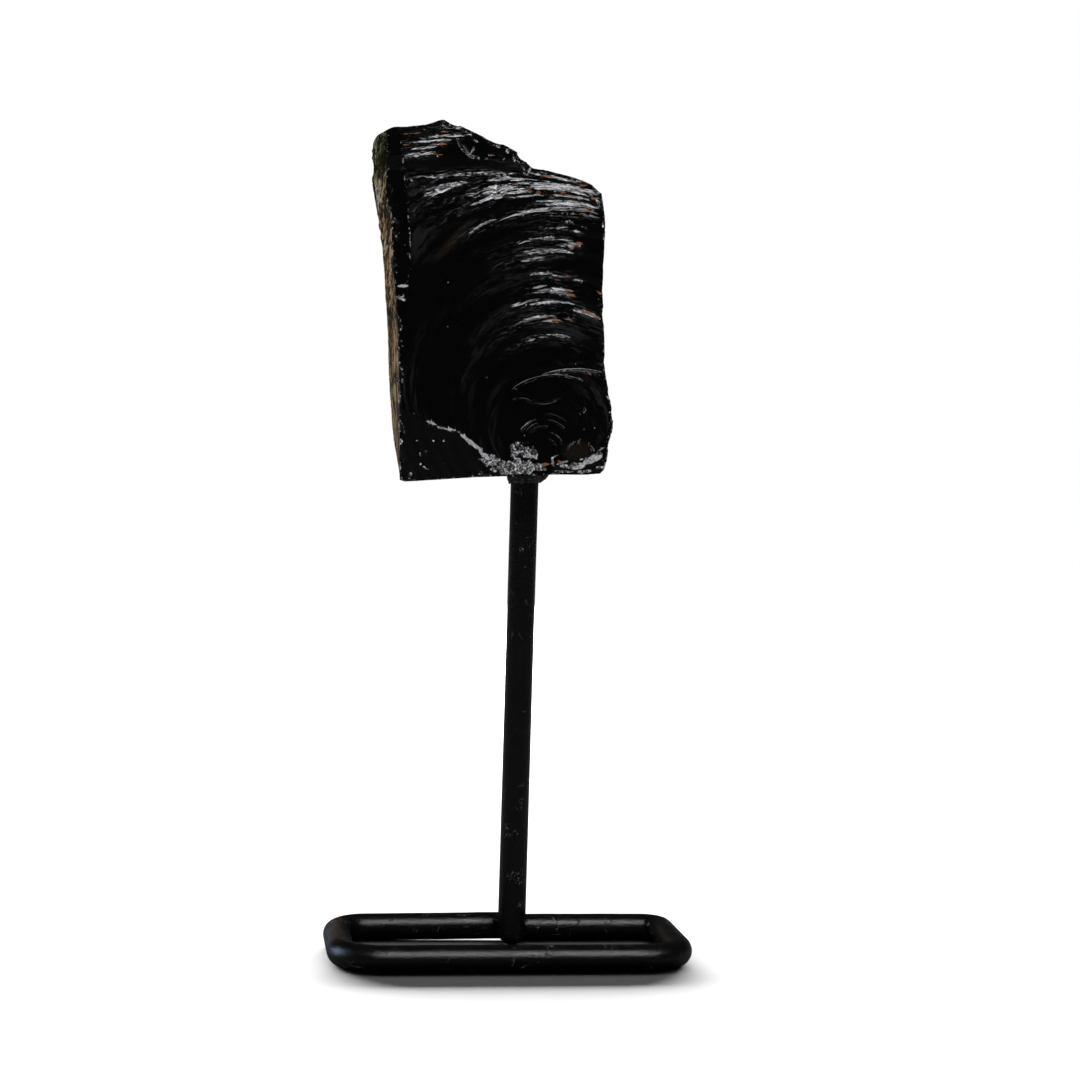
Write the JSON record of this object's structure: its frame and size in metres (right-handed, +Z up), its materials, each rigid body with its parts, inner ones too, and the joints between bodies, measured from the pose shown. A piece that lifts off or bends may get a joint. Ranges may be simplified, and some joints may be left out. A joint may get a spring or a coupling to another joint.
{
  "type": "obsidian chunk on display stand",
  "caption": "Upright broken chunk of black obsidian glued on a slim black metal post that rises from a flat rounded-rectangle rod base.",
  "frame": {"origin": "middle of the object's footprint, on the surface that it stands on", "axes": "+X to the right along the front of the stand, +Y to the back, +Z up"},
  "size_m": [0.0798, 0.0406, 0.183],
  "materials": {
    "obsidian": "polished",
    "black_paint": "satin",
    "glue": "matte"
  },
  "bodies": {
    "root": {"obsidian_chunk": "obsidian", "base_loop": "black_paint", "post": "black_paint", "weld": "black_paint", "glue_collar": "glue"}
  },
  "joints": []
}
